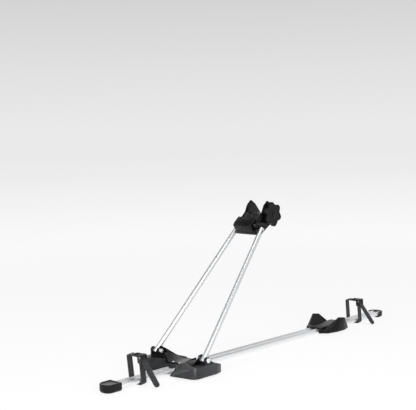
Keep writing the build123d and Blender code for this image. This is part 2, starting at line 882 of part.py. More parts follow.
with BuildPart() as star_knob:
    with BuildSketch(side_plane(-hub_back)):
        with Locations((spindle_u, spindle_s)):
            Circle(knob_hub_radius)
    extrude(amount=knob_hub_height)
    with BuildSketch(side_plane(-knob_back)):
        with Locations((spindle_u, spindle_s)):
            Circle(knob_core_radius)
            with PolarLocations(knob_radius - knob_lobe_radius, knob_lobes):
                Circle(knob_lobe_radius)
    extrude(amount=knob_thickness)
    fillet(faces().sort_by(Axis.Y)[0].edges(), radius=knob_round)
    with BuildSketch(side_plane(-hub_back)):
        with Locations((spindle_u, spindle_s)):
            Circle(spindle_radius)
    extrude(amount=knob_face - hub_back, mode=Mode.SUBTRACT)
    with BuildSketch(side_plane(-knob_face)):
        with Locations((spindle_u, spindle_s)):
            Circle(lock_radius + running_gap)
    extrude(amount=-lock_depth, mode=Mode.SUBTRACT)
write(star_knob, "star_knob")

with BuildPart() as lock_cylinder:
    with BuildSketch(side_plane(-knob_face - lock_proud)):
        with Locations((spindle_u, spindle_s)):
            Circle(lock_radius)
    extrude(amount=-(lock_depth + lock_proud - seat_gap))
    with BuildSketch(side_plane(-knob_face - lock_proud)):
        with Locations((spindle_u, spindle_s)):
            Rectangle(key_slot_width, key_slot_length)
    extrude(amount=-lock_depth / 2, mode=Mode.SUBTRACT)
write(lock_cylinder, "lock_cylinder")

with BuildPart() as spindle_nut:
    with BuildSketch(side_plane(wall_outside)):
        with Locations((spindle_u, spindle_s)):
            RegularPolygon(radius=nut_across_flats / 2, side_count=6, major_radius=False)
            Circle(spindle_radius + running_gap, mode=Mode.SUBTRACT)
    extrude(amount=-spindle_nut_height)
write(spindle_nut, "spindle_nut")


# Rear wheel tray: a saddle on the rail with two wings

tray_rear_x = tray_front_x + tray_length
tray_mid_x = tray_front_x + tray_length / 2


def wing_foot(side):
    """Draw the plan of one wing where it starts."""
    Polygon(
        (tray_front_x, side * (tray_foot_half - tray_wall)),
        (tray_front_x + tray_toe_run, side * tray_toe_half),
        (tray_front_x + tray_cheek_run, side * tray_half_width),
        (tray_front_x + tray_top_rear - tray_wall, side * tray_half_width),
        (tray_rear_x, side * tray_heel_half),
        (tray_rear_x, side * (tray_foot_half - tray_wall)),
        align=None,
    )


tray_tip_angle = radians(tray_tip_slope)
tray_tip_length = tray_top_rear - tray_top_front
wing_tip_plane = Plane(
    origin=(tray_front_x + tray_top_front, 0, tray_wing_top),
    x_dir=(cos(tray_tip_angle), 0, -sin(tray_tip_angle)),
    z_dir=(sin(tray_tip_angle), 0, cos(tray_tip_angle)),
)


def wing_tip(side):
    """Draw the plan of one wing at its top."""
    Polygon(
        (0, side * (tray_half_width - tray_wall)),
        (tray_tip_bevel, side * (tray_half_width - tray_tip_bevel)),
        (tray_wall, side * tray_half_width),
        (tray_tip_length - tray_wall, side * tray_half_width),
        (tray_tip_length, side * (tray_half_width - tray_tip_bevel)),
        (tray_tip_length, side * (tray_half_width - tray_wall)),
        align=None,
    )


with BuildPart() as rear_tray:
    for side in (-1, 1):
        with BuildSketch(Plane.XY.offset(base_bottom)):
            wing_foot(side)
        with BuildSketch(wing_tip_plane):
            wing_tip(side)
        loft(ruled=True)
    with BuildSketch(Plane.YZ.offset(tray_front_x)):
        with Locations((0, (base_bottom + tray_saddle_top) / 2)):
            Rectangle(2 * tray_foot_half, tray_saddle_top - base_bottom)
    extrude(amount=tray_length)
    with BuildSketch(Plane.YZ.offset(tray_front_x)):
        rail_outline(tray_slide_gap)
        with Locations((0, rail_bottom)):
            Rectangle(2 * (rail_half_width + tray_slide_gap), 2 * lobe_radius)
    extrude(amount=tray_length, mode=Mode.SUBTRACT)
    with BuildSketch(Plane.XY.offset(base_bottom)):
        with Locations((tray_mid_x, 0)):
            Rectangle(tray_plate_length + 2 * seat_gap, 2 * (tray_plate_half_width + seat_gap))
    extrude(amount=rail_bottom - base_bottom, mode=Mode.SUBTRACT)
    with BuildSketch(Plane.XY.offset(rail_bottom)):
        with Locations((tray_mid_x, 0)):
            with GridLocations(tray_screw_spread, 2 * tray_screw_y, 2, 2):
                Circle(tray_screw_radius)
    extrude(amount=tray_screw_length - tray_plate_thickness, mode=Mode.SUBTRACT)
write(rear_tray, "rear_tray")

tray_plate_top = rail_bottom - tray_slide_gap

with BuildPart() as tray_plate:
    with BuildSketch(Plane.XY.offset(tray_plate_top - tray_plate_thickness)):
        with Locations((tray_mid_x, 0)):
            Rectangle(tray_plate_length, 2 * tray_plate_half_width)
            with GridLocations(tray_screw_spread, 2 * tray_screw_y, 2, 2):
                Circle(tray_screw_radius, mode=Mode.SUBTRACT)
    extrude(amount=tray_plate_thickness)
write(tray_plate, "tray_plate")

with BuildPart() as tray_screws:
    tray_screw_seat = tray_plate_top - tray_plate_thickness
    with BuildSketch(Plane.XY.offset(tray_screw_seat - tray_screw_head_height)):
        with Locations((tray_mid_x, 0)):
            with GridLocations(tray_screw_spread, 2 * tray_screw_y, 2, 2):
                Circle(tray_screw_head)
    extrude(amount=tray_screw_head_height)
    with BuildSketch(Plane.XY.offset(tray_screw_seat)):
        with Locations((tray_mid_x, 0)):
            with GridLocations(tray_screw_spread, 2 * tray_screw_y, 2, 2):
                Circle(tray_screw_radius)
    extrude(amount=tray_screw_length)
write(tray_screws, "tray_screws")


# Wheel straps with their buckles, levers and pins


def strap_plane(x, lean):
    """Plane of a strap's loop, with Y and up as its axes, its top leaning forwards."""
    tilt = radians(lean)
    return Plane(origin=(x, 0, 0), x_dir=(0, 1, 0), z_dir=(cos(tilt), 0, sin(tilt)))


strap_bottom = rail_bottom - strap_rail_gap - strap_thickness
pin_y = -strap_half_width - lever_pin_out
pin_z = strap_top - lever_pin_down
cheek_start = strap_width / 2 + body_gap


def make_strap(name, x, lean):
    """Make one strap and the three pieces of its buckle."""
    plane = strap_plane(x, lean)
    with BuildPart() as strap:
        with BuildSketch(plane):
            with Locations((0, (strap_top + strap_bottom) / 2)):
                RectangleRounded(2 * strap_half_width, strap_top - strap_bottom, strap_corner)
                RectangleRounded(
                    2 * (strap_half_width - strap_thickness),
                    strap_top - strap_bottom - 2 * strap_thickness,
                    strap_corner - strap_thickness,
                    mode=Mode.SUBTRACT,
                )
            with Locations((-strap_half_width + strap_thickness, tail_root)):
                Rectangle(
                    strap_thickness,
                    tail_length,
                    rotation=-tail_angle,
                    align=(Align.MAX, Align.MAX),
                )
        extrude(amount=strap_width / 2, both=True)
        tip_edges = edges().filter_by(Axis.Y, reverse=True).sort_by(Axis.Y)[:4]
        corner_edges = [e for e in tip_edges if e.length < 2 * strap_thickness]
        fillet(corner_edges, radius=tail_round)
    write(strap, f"{name}_strap")
    with BuildPart() as buckle:
        for side in (-1, 1):
            with BuildSketch(plane.offset(side * cheek_start)):
                with Locations((pin_y - lever_hub_radius, strap_top + buckle_rise)):
                    Rectangle(buckle_depth, buckle_height, align=(Align.MIN, Align.MAX))
            extrude(amount=side * buckle_cheek)
        with BuildSketch(plane.offset(-cheek_start)):
            with Locations((-strap_half_width + strap_thickness + seat_gap, strap_top - strap_corner)):
                Rectangle(buckle_plate, buckle_height / 2, align=(Align.MIN, Align.MAX))
        extrude(amount=2 * cheek_start)
        with BuildSketch(plane.offset(-cheek_start - buckle_cheek)):
            with Locations((pin_y, pin_z)):
                Circle(lever_pin_radius)
        extrude(amount=2 * (cheek_start + buckle_cheek), mode=Mode.SUBTRACT)
    write(buckle, f"{name}_buckle")
    with BuildPart() as lever:
        with BuildSketch(plane):
            with Locations((pin_y, pin_z)):
                Circle(lever_hub_radius)
            Polygon(
                (pin_y - lever_hub_radius, pin_z),
                (pin_y - lever_hub_radius / 2, strap_top + seat_gap + lever_thickness),
                (pin_y + lever_length, strap_top + seat_gap + lever_thickness),
                (pin_y + lever_length, strap_top + seat_gap),
                (-strap_half_width, strap_top + seat_gap),
                (pin_y + lever_hub_radius, pin_z),
                align=None,
            )
        extrude(amount=strap_width / 2, both=True)
        with BuildSketch(plane.offset(-strap_width / 2)):
            with Locations((pin_y, pin_z)):
                Circle(lever_pin_radius + running_gap)
        extrude(amount=strap_width, mode=Mode.SUBTRACT)
    write(lever, f"{name}_buckle_lever")
    with BuildPart() as pin:
        with BuildSketch(plane.offset(-cheek_start - buckle_cheek)):
            with Locations((pin_y, pin_z)):
                Circle(lever_pin_radius)
        extrude(amount=2 * (cheek_start + buckle_cheek))
    write(pin, f"{name}_buckle_pin")


make_strap("front", front_strap_x, front_strap_lean)
make_strap("rear", rear_strap_x, rear_strap_lean)
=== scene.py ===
# %% [markdown]
# # An upright bike carrier
#
# This lesson dresses a carrier for roof bars. It has one long aluminium rail with two straps and
# a tray, a wide plastic base that bridges the rail, two aluminium arms that rise from the base,
# and a clamp with a star knob at their top. The solid parts come from the CAD model, in metres,
# and stay in place. The lesson gives them soft edges, small details and real finishes, then a
# camera and a light.

import json
from math import atan2, cos, degrees, radians, sin

import bmesh
import bpy
from mathutils import Matrix, Vector


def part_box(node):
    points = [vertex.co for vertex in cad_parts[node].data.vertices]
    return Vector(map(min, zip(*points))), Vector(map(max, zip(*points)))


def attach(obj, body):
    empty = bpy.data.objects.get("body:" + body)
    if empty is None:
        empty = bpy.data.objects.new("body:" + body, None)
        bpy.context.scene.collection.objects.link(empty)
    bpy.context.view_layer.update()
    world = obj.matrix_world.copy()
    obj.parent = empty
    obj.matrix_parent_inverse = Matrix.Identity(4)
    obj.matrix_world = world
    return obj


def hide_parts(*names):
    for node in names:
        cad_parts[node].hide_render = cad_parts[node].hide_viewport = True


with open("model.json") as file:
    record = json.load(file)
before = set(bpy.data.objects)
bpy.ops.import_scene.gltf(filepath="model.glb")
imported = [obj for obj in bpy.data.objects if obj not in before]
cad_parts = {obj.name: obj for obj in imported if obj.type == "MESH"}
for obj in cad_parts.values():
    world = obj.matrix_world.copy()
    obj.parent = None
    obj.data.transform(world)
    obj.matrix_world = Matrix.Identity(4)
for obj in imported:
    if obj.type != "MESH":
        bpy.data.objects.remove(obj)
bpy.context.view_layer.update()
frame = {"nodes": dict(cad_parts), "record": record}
millimetre = 0.001

# %% Look up the body and the finish of each part
bodies = frame["record"]["behaviour"]["bodies"]
body_of = {node: body for body, members in bodies.items() for node in members}
slot_of = {part["node"]: part["material_slot"] for part in frame["record"]["subparts"]}

# %% [markdown]
# ## The camera
#
# The photograph was taken from the front left, about two metres off the rail's side and from
# about 0.7 m above the ground. The camera's place, its angles and its focal length were found
# by fitting straight edges of the carrier. The focal length is in pixels of a picture 416 wide,
# and the lens follows from it.

# %% Camera
picture_width = 416
focal_pixels = 938.418
sensor_width = 36.0
camera_place = Vector((-2.3415, -2.0050, 0.7303))
camera_yaw = 0.807251
camera_pitch = -0.080094
camera_roll = -0.023139
nearest_seen = 0.05
farthest_seen = 60

forward = Vector(
    (sin(camera_yaw) * cos(camera_pitch), cos(camera_yaw) * cos(camera_pitch), sin(camera_pitch))
)
level_right = Vector((cos(camera_yaw), -sin(camera_yaw), 0))
level_up = level_right.cross(forward)
right = level_right * cos(camera_roll) + level_up * sin(camera_roll)
up = level_up * cos(camera_roll) - level_right * sin(camera_roll)

camera_data = bpy.data.cameras.new("camera")
camera_data.sensor_width = sensor_width
camera_data.lens = focal_pixels * sensor_width / picture_width
camera_data.clip_start = nearest_seen
camera_data.clip_end = farthest_seen
camera = bpy.data.objects.new("camera", camera_data)
bpy.context.scene.collection.objects.link(camera)
camera_turn = Matrix((right, up, -forward)).transposed()
camera.matrix_world = Matrix.Translation(camera_place) @ camera_turn.to_4x4()
bpy.context.scene.camera = camera
print("lens", round(camera_data.lens, 1), "mm")

# %% [markdown]
# ## Small helpers for modelling
#
# Blender's tools act on whatever is selected, so each step starts by selecting one piece alone.
# In edit mode, faces are picked in code by a test on their middle and their normal, and points
# by a test on the point itself. They could be picked by their numbers too, but these change as
# soon as a form changes.


# %% Select pieces, faces and points
def only(piece):
    """Select this piece alone and make it active."""
    bpy.ops.object.select_all(action="DESELECT")
    piece.select_set(True)
    bpy.context.view_layer.objects.active = piece


def pick_faces(piece, test):
    """Go to edit mode and select the faces whose middle and normal pass the test."""
    only(piece)
    bpy.ops.object.mode_set(mode="EDIT")
    bpy.ops.mesh.select_mode(type="FACE")
    bpy.ops.mesh.select_all(action="DESELECT")
    mesh = bmesh.from_edit_mesh(piece.data)
    count = 0
    for face in mesh.faces:
        if test(face.calc_center_median(), face.normal):
            face.select_set(True)
            count += 1
    bmesh.update_edit_mesh(piece.data)
    return count


def pick_points(piece, test):
    """Select the points that pass the test, in edit mode."""
    mesh = bmesh.from_edit_mesh(piece.data)
    for point in mesh.verts:
        point.select_set(test(point))
    mesh.select_flush_mode()
    bmesh.update_edit_mesh(piece.data)


def leave_edit():
    """Go back to object mode."""
    bpy.ops.object.mode_set(mode="OBJECT")


# %% [markdown]
# ## Soft edges
#
# A moulding or a pressed part never has a knife edge: the tool that makes it has small radii,
# and these catch the light as thin bright lines. A copy of each CAD mesh is joined up at its
# seams, its flat areas are made single faces, and a bevel rounds what is still sharp. The copy
# then stands for the CAD part. The other way would be to model each form again from nothing,
# which gains nothing where the form is already right.


# %% Copy a part, and round its edges
seam_gap = 0.005
seam_turn = radians(0.5)
sharp_turn = radians(32.0)
smooth_turn = radians(28.0)


def copy_part(node):
    """Copy a CAD part's mesh to a new piece and join its loose triangles."""
    piece = bpy.data.objects.new(node + "_shell", frame["nodes"][node].data.copy())
    bpy.context.scene.collection.objects.link(piece)
    piece.data.materials.clear()
    only(piece)
    bpy.ops.mesh.customdata_custom_splitnormals_clear()
    bpy.ops.object.mode_set(mode="EDIT")
    bpy.ops.mesh.select_all(action="SELECT")
    bpy.ops.mesh.remove_doubles(threshold=seam_gap * millimetre)
    bpy.ops.mesh.dissolve_limited(angle_limit=seam_turn)
    leave_edit()
    return piece


def round_edges(piece, width, segments=3):
    """Bevel the sharp edges, and shade the piece smooth."""
    only(piece)
    bevel = piece.modifiers.new("soft_edges", "BEVEL")
    bevel.width = width * millimetre
    bevel.segments = segments
    bevel.limit_method = "ANGLE"
    bevel.angle_limit = sharp_turn
    bevel.use_clamp_overlap = True
    bevel.miter_outer = "MITER_ARC"
    bevel.harden_normals = False
    bpy.ops.object.modifier_apply(modifier=bevel.name)
    bpy.ops.object.shade_smooth_by_angle(angle=smooth_turn)


def belongs_to(piece, node):
    """Let a piece ride with a CAD part."""
    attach(piece, body_of[node])


def stand_for(piece, node):
    """Let a piece ride with a CAD part and show in its place."""
    belongs_to(piece, node)
    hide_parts(node)


# %% [markdown]
# ## Materials
#
# Each finish starts from what the real one is. Colours are written as sRGB hex values and
# turned to the linear values that the shader works in. Patterns read Object coordinates, which
# are metres here, so a pattern of 1 mm has a scale of 1000.


# %% Colour and node helpers
def linear(code):
    """Turn an sRGB hex colour to linear values."""
    values = []
    for start in (0, 2, 4):
        level = int(code[start : start + 2], 16) / 255
        values.append(level / 12.92 if level <= 0.04045 else ((level + 0.055) / 1.055) ** 2.4)
    return (*values, 1.0)


def add_node(material, kind, settings=None, inputs=None):
    """Add a node to a material or a world, set its properties, and set or link its inputs."""
    node = material.node_tree.nodes.new(kind)
    for key, value in (settings or {}).items():
        setattr(node, key, value)
    for key, value in (inputs or {}).items():
        if isinstance(value, bpy.types.NodeSocket):
            material.node_tree.links.new(value, node.inputs[key])
        else:
            node.inputs[key].default_value = value
    return node


def new_material(name, colour, roughness, metallic=0.0, specular=0.5):
    """Make a material and set what is the same all over on the shader's own sockets."""
    material = bpy.data.materials.new(name)
    material.use_nodes = True
    shader = material.node_tree.nodes["Principled BSDF"]
    shader.inputs["Base Color"].default_value = linear(colour)
    shader.inputs["Roughness"].default_value = roughness
    shader.inputs["Metallic"].default_value = metallic
    shader.inputs["Specular IOR Level"].default_value = specular
    return material, shader


def per_millimetre(size):
    """Scale of a pattern whose features are this many millimetres wide."""
    return 1 / (size * millimetre)


# %% [markdown]
# ### Moulded polypropylene
#
# The skirted base and the tray are injection moulded from black filled polypropylene. The tool
# is spark eroded, which leaves a fine even grain, so the plastic looks dark grey with a broad
# dull highlight. The edges are painted a little lighter, a painted highlight where they would
# catch the light. The real grain is about 0.3 mm.
# It is drawn at 0.9 mm, so that it shows in a close view. The upper side of the base is plain
# black, as in the photograph. The tray is smoother and darker, and the nylon of the knob and
# of the plugs differs in tone, gloss and grain, so one function makes all four. A picture of
# the grain would need a UV map on every part. Noise on Object coordinates needs none.


# %% Grained plastic
plain_black = "080809"
cloud_size = 35


def grained_plastic(name, dark, light, roughness, grain, depth, specular=0.4, black_above=None):
    """Make a moulded plastic with an even grain, cloudy tone and a painted highlight on its edges.

    Above the given height its colour is plain black.
    """
    material, shader = new_material(name, dark, roughness, specular=specular)
    point = add_node(material, "ShaderNodeTexCoord")
    cloud = add_node(
        material,
        "ShaderNodeTexNoise",
        inputs={"Vector": point.outputs["Object"], "Scale": per_millimetre(cloud_size), "Detail": 4.0},
    )
    speck = add_node(
        material,
        "ShaderNodeTexNoise",
        inputs={"Vector": point.outputs["Object"], "Scale": per_millimetre(grain), "Detail": 2.0},
    )
    # Painted highlight: Pointiness makes the colour lighter on sharp edges, as if they caught the light.
    edge = add_node(material, "ShaderNodeNewGeometry")
    painted_edge_highlight = add_node(
        material,
        "ShaderNodeMapRange",
        inputs={"Value": edge.outputs["Pointiness"], "From Min": 0.52, "From Max": 0.60, "To Max": 0.55},
    )
    tone = add_node(
        material,
        "ShaderNodeMapRange",
        inputs={"Value": cloud.outputs["Fac"], "From Min": 0.35, "From Max": 0.70, "To Max": 0.30},
    )
    both = add_node(
        material,
        "ShaderNodeMath",
        {"operation": "ADD", "use_clamp": True},
        {0: painted_edge_highlight.outputs["Result"], 1: tone.outputs["Result"]},
    )
    colour = add_node(
        material,
        "ShaderNodeMix",
        {"data_type": "RGBA"},
        {0: both.outputs["Value"], 6: linear(dark), 7: linear(light)},
    )
    if black_above:
        split = add_node(material, "ShaderNodeSeparateXYZ", inputs={"Vector": point.outputs["Object"]})
        upper = add_node(
            material,
            "ShaderNodeMapRange",
            inputs={
                "Value": split.outputs["Z"],
                "From Min": black_above,
                "From Max": black_above + millimetre,
            },
        )
        colour = add_node(
            material,
            "ShaderNodeMix",
            {"data_type": "RGBA"},
            {0: upper.outputs["Result"], 6: colour.outputs[2], 7: linear(plain_black)},
        )
    rough = add_node(
        material,
        "ShaderNodeMapRange",
        inputs={"Value": cloud.outputs["Fac"], "To Min": roughness - 0.06, "To Max": roughness + 0.08},
    )
    bump = add_node(
        material,
        "ShaderNodeBump",
        inputs={"Height": speck.outputs["Fac"], "Strength": 0.35, "Distance": depth * millimetre},
    )
    links = material.node_tree.links
    links.new(colour.outputs[2], shader.inputs["Base Color"])
    links.new(rough.outputs["Result"], shader.inputs["Roughness"])
    links.new(bump.outputs["Normal"], shader.inputs["Normal"])
    return material


skirt_top = 38.5 * millimetre
polypropylene = grained_plastic(
    "moulded_polypropylene", "121314", "3C3D40", roughness=0.36, grain=0.9, depth=0.12, black_above=skirt_top
)
tray_polypropylene = grained_plastic(
    "smooth_polypropylene", "040405", "101112", roughness=0.34, grain=0.9, depth=0.06, specular=0.16
)
knob_nylon = grained_plastic(
    "soft_grain_nylon", "060607", "161617", roughness=0.45, grain=0.7, depth=0.10, specular=0.2
)
plain_nylon = grained_plastic(
    "plain_black_nylon", "171718", "303132", roughness=0.50, grain=1.2, depth=0.06
)
print("grained plastics made")

# %% [markdown]
# ### Polished ABS
#
# The cover over the rail, the end caps and the clamp are black ABS from a polished tool. The
# gloss is high, and close up the surface ripples very slightly, as moulded gloss always does.
# The buckles are acetal, which is duller and slightly greyer. An even gloss would look like
# glass, so one noise gives the ripple and another gives faint marks in the roughness.


# %% Glossy plastic
ripple_size = 9
mark_size = 14


def glossy_plastic(name, colour, light, roughness, ripple):
    """Make a glossy moulded plastic with a long soft ripple, faint handling marks and a painted highlight on
    its edges.
    """
    material, shader = new_material(name, colour, roughness, specular=0.22)
    point = add_node(material, "ShaderNodeTexCoord")
    wave = add_node(
        material,
        "ShaderNodeTexNoise",
        inputs={"Vector": point.outputs["Object"], "Scale": per_millimetre(ripple_size), "Detail": 1.0},
    )
    marks = add_node(
        material,
        "ShaderNodeTexNoise",
        inputs={
            "Vector": point.outputs["Object"],
            "Scale": per_millimetre(mark_size),
            "Detail": 8.0,
            "Roughness": 0.7,
        },
    )
    # Painted highlight: Pointiness makes the colour lighter on sharp edges, as if they caught the light.
    edge = add_node(material, "ShaderNodeNewGeometry")
    painted_edge_highlight = add_node(
        material,
        "ShaderNodeMapRange",
        inputs={"Value": edge.outputs["Pointiness"], "From Min": 0.53, "From Max": 0.62, "To Max": 0.5},
    )
    tint = add_node(
        material,
        "ShaderNodeMix",
        {"data_type": "RGBA"},
        {0: painted_edge_highlight.outputs["Result"], 6: linear(colour), 7: linear(light)},
    )
    rough = add_node(
        material,
        "ShaderNodeMapRange",
        inputs={
            "Value": marks.outputs["Fac"],
            "From Min": 0.4,
            "From Max": 0.75,
            "To Min": roughness,
            "To Max": roughness + 0.16,
        },
    )
    bump = add_node(
        material,
        "ShaderNodeBump",
        inputs={"Height": wave.outputs["Fac"], "Strength": 0.25, "Distance": ripple * millimetre},
    )
    links = material.node_tree.links
    links.new(tint.outputs[2], shader.inputs["Base Color"])
    links.new(rough.outputs["Result"], shader.inputs["Roughness"])
    links.new(bump.outputs["Normal"], shader.inputs["Normal"])
    return material


polished_abs = glossy_plastic("polished_black_abs", "060607", "1E1F21", roughness=0.14, ripple=0.12)
cap_abs = glossy_plastic("end_cap_abs", "0A0A0B", "333436", roughness=0.12, ripple=0.15)
buckle_acetal = glossy_plastic("buckle_acetal", "0F0F10", "303133", roughness=0.30, ripple=0.08)
print("glossy plastics made")

# %% [markdown]
# ### Anodised aluminium
#
# The rail is extruded, and the arms are drawn tube. Both come out of their die with very fine
# lines along their length, and clear anodising leaves them pale and satin. The pattern is
# stretched along the length by a Mapping node: 0.5 mm across, drawn coarser than the real
# lines, and 160 mm along. Anisotropic shading could stretch the highlight as well, but it
# would need a direction on every part. The steel plates are ground, which leaves shorter
# lines across the rail.


# %% Aluminium with die lines
smear_size = 60


def die_lined_metal(name, pale, dull, roughness, turn, across, along):
    """Make a satin metal with fine lines along X, after X has been turned."""
    material, shader = new_material(name, pale, roughness, metallic=1.0)
    point = add_node(material, "ShaderNodeTexCoord")
    stretched = add_node(
        material,
        "ShaderNodeMapping",
        {"vector_type": "TEXTURE"},
        {
            "Vector": point.outputs["Object"],
            "Rotation": turn,
            "Scale": (along * millimetre, across * millimetre, across * millimetre),
        },
    )
    lines = add_node(
        material,
        "ShaderNodeTexNoise",
        inputs={"Vector": stretched.outputs["Vector"], "Scale": 1.0, "Detail": 3.0},
    )
    cloud = add_node(
        material,
        "ShaderNodeTexNoise",
        inputs={"Vector": point.outputs["Object"], "Scale": per_millimetre(smear_size), "Detail": 3.0},
    )
    tint = add_node(
        material,
        "ShaderNodeMix",
        {"data_type": "RGBA"},
        {0: cloud.outputs["Fac"], 6: linear(pale), 7: linear(dull)},
    )
    rough = add_node(
        material,
        "ShaderNodeMapRange",
        inputs={
            "Value": lines.outputs["Fac"],
            "From Min": 0.3,
            "From Max": 0.7,
            "To Min": roughness - 0.04,
            "To Max": roughness + 0.05,
        },
    )
    bump = add_node(
        material,
        "ShaderNodeBump",
        inputs={"Height": lines.outputs["Fac"], "Strength": 0.03, "Distance": 0.02 * millimetre},
    )
    links = material.node_tree.links
    links.new(tint.outputs[2], shader.inputs["Base Color"])
    links.new(rough.outputs["Result"], shader.inputs["Roughness"])
    links.new(bump.outputs["Normal"], shader.inputs["Normal"])
    return material


along_rail = (0, 0, 0)
up_the_arms = (0, radians(-46.9), 0)
across_rail = (0, 0, radians(90))
rail_aluminium = die_lined_metal(
    "extruded_aluminium", "F4F5F6", "EAEBED", roughness=0.42, turn=along_rail, across=0.5, along=160
)
arm_aluminium = die_lined_metal(
    "drawn_aluminium", "DADBDD", "CED0D2", roughness=0.40, turn=up_the_arms, across=0.5, along=160
)
plate_steel = die_lined_metal(
    "ground_steel", "A9ABAD", "8E9092", roughness=0.35, turn=across_rail, across=0.6, along=60
)
print("die-lined metals made")

# %% [markdown]
# ### Galvanised and zinc plated steel
#
# The pivot bolts are galvanised: zinc crystals give a pale patchy spangle, about two millimetres
# wide. The small screws and washers are electroplated, which is smoother and a little bluer.
# The lock's cylinder is black chromed, so it is dark and smooth. Noise would draw soft clouds.
# Crystals meet at straight borders, so the cells of a Voronoi texture draw them.


# %% Zinc finishes
def zinc_finish(name, pale, dull, roughness, spangle):
    """Make a zinc coated steel whose crystals differ in tone and roughness."""
    material, shader = new_material(name, pale, roughness, metallic=1.0)
    point = add_node(material, "ShaderNodeTexCoord")
    crystal = add_node(
        material,
        "ShaderNodeTexVoronoi",
        inputs={"Vector": point.outputs["Object"], "Scale": per_millimetre(spangle)},
    )
    grey = add_node(material, "ShaderNodeRGBToBW", inputs={"Color": crystal.outputs["Color"]})
    tint = add_node(
        material,
        "ShaderNodeMix",
        {"data_type": "RGBA"},
        {0: grey.outputs["Val"], 6: linear(pale), 7: linear(dull)},
    )
    rough = add_node(
        material,
        "ShaderNodeMapRange",
        inputs={"Value": grey.outputs["Val"], "To Min": roughness - 0.08, "To Max": roughness + 0.10},
    )
    links = material.node_tree.links
    links.new(tint.outputs[2], shader.inputs["Base Color"])
    links.new(rough.outputs["Result"], shader.inputs["Roughness"])
    return material


galvanised_steel = zinc_finish("galvanised_steel", "F8F8F9", "E2E3E5", roughness=0.50, spangle=1.8)
zinc_plate = zinc_finish("zinc_plated_steel", "D3D7DB", "AEB3B8", roughness=0.28, spangle=0.6)
black_chrome = zinc_finish("black_chromed_zinc", "3B3B3E", "2A2A2D", roughness=0.20, spangle=4.0)
print("zinc finishes made")

# %% [markdown]
# ### Moulded rubber
#
# The straps are thermoplastic rubber, dark grey with a dull sheen and a faint flow pattern. The
# pads in the clamp and under the base are a plainer, more matt rubber. Plain black with a high
# roughness would look flat, so a cloud, a fine bump and a little sheen are added to it.


# %% Rubber
cloud_share = 0.45
pore_size = 0.8


def moulded_rubber(name, dark, light, roughness, flow):
    """Make a rubber with soft cloudy flow marks, a fine bump, a slight sheen and a painted highlight on its
    edges.
    """
    material, shader = new_material(name, dark, roughness, specular=0.35)
    shader.inputs["Sheen Weight"].default_value = 0.12
    shader.inputs["Sheen Roughness"].default_value = 0.4
    point = add_node(material, "ShaderNodeTexCoord")
    cloud = add_node(
        material,
        "ShaderNodeTexNoise",
        inputs={
            "Vector": point.outputs["Object"],
            "Scale": per_millimetre(flow),
            "Detail": 5.0,
            "Distortion": 0.8,
        },
    )
    pores = add_node(
        material,
        "ShaderNodeTexNoise",
        inputs={"Vector": point.outputs["Object"], "Scale": per_millimetre(pore_size), "Detail": 2.0},
    )
    # Painted highlight: Pointiness makes the colour lighter on sharp edges, as if they caught the light.
    edge = add_node(material, "ShaderNodeNewGeometry")
    painted_edge_highlight = add_node(
        material,
        "ShaderNodeMapRange",
        inputs={"Value": edge.outputs["Pointiness"], "From Min": 0.51, "From Max": 0.60, "To Max": 0.6},
    )
    tone = add_node(
        material,
        "ShaderNodeMath",
        {"operation": "MULTIPLY_ADD", "use_clamp": True},
        {0: cloud.outputs["Fac"], 1: cloud_share, 2: painted_edge_highlight.outputs["Result"]},
    )
    tint = add_node(
        material,
        "ShaderNodeMix",
        {"data_type": "RGBA"},
        {0: tone.outputs["Value"], 6: linear(dark), 7: linear(light)},
    )
    bump = add_node(
        material,
        "ShaderNodeBump",
        inputs={"Height": pores.outputs["Fac"], "Strength": 0.4, "Distance": 0.08 * millimetre},
    )
    links = material.node_tree.links
    links.new(tint.outputs[2], shader.inputs["Base Color"])
    links.new(bump.outputs["Normal"], shader.inputs["Normal"])
    return material


strap_rubber = moulded_rubber("thermoplastic_rubber", "0F1012", "303134", roughness=0.50, flow=12)
pad_rubber = moulded_rubber("matt_pad_rubber", "131313", "2C2C2C", roughness=0.70, flow=8)
print("rubbers made")

# %% [markdown]
# ### A finish for every part
#
# The record gives each part a slot, and each slot has one finish here. The tray shares its slot
# with the base, but it is moulded smoother and darker, so it has a finish of its own.

# %% One finish for each slot of the record
finish_of = {
    "extruded_aluminium": rail_aluminium,
    "tube_aluminium": arm_aluminium,
    "cap_plastic": cap_abs,
    "housing_plastic": polypropylene,
    "gloss_black_plastic": polished_abs,
    "knob_plastic": knob_nylon,
    "buckle_plastic": buckle_acetal,
    "strap_rubber": strap_rubber,
    "pad_rubber": pad_rubber,
    "nylon": plain_nylon,
    "plate_steel": plate_steel,
    "zinc_steel": zinc_plate,
    "galvanised_steel": galvanised_steel,
    "lock_metal": black_chrome,
}
own_finish = {"rear_tray": tray_polypropylene}


def finish(piece, node):
    """Give the piece the finish of a CAD part."""
    piece.data.materials.clear()
    piece.data.materials.append(own_finish.get(node, finish_of[slot_of[node]]))


for node, part in frame["nodes"].items():
    finish(part, node)
print(len(finish_of), "finishes on", len(frame["nodes"]), "parts")

# %% [markdown]
# ## Rounding the moulded and pressed parts
#
# The radius differs with the part: large mouldings have soft edges of about a millimetre, and
# metal and rubber parts a rounding of a few tenths. A radius that is wider than a face beside
# it would fold over, so each is kept under half of the thinnest wall. Sizes are in millimetres.

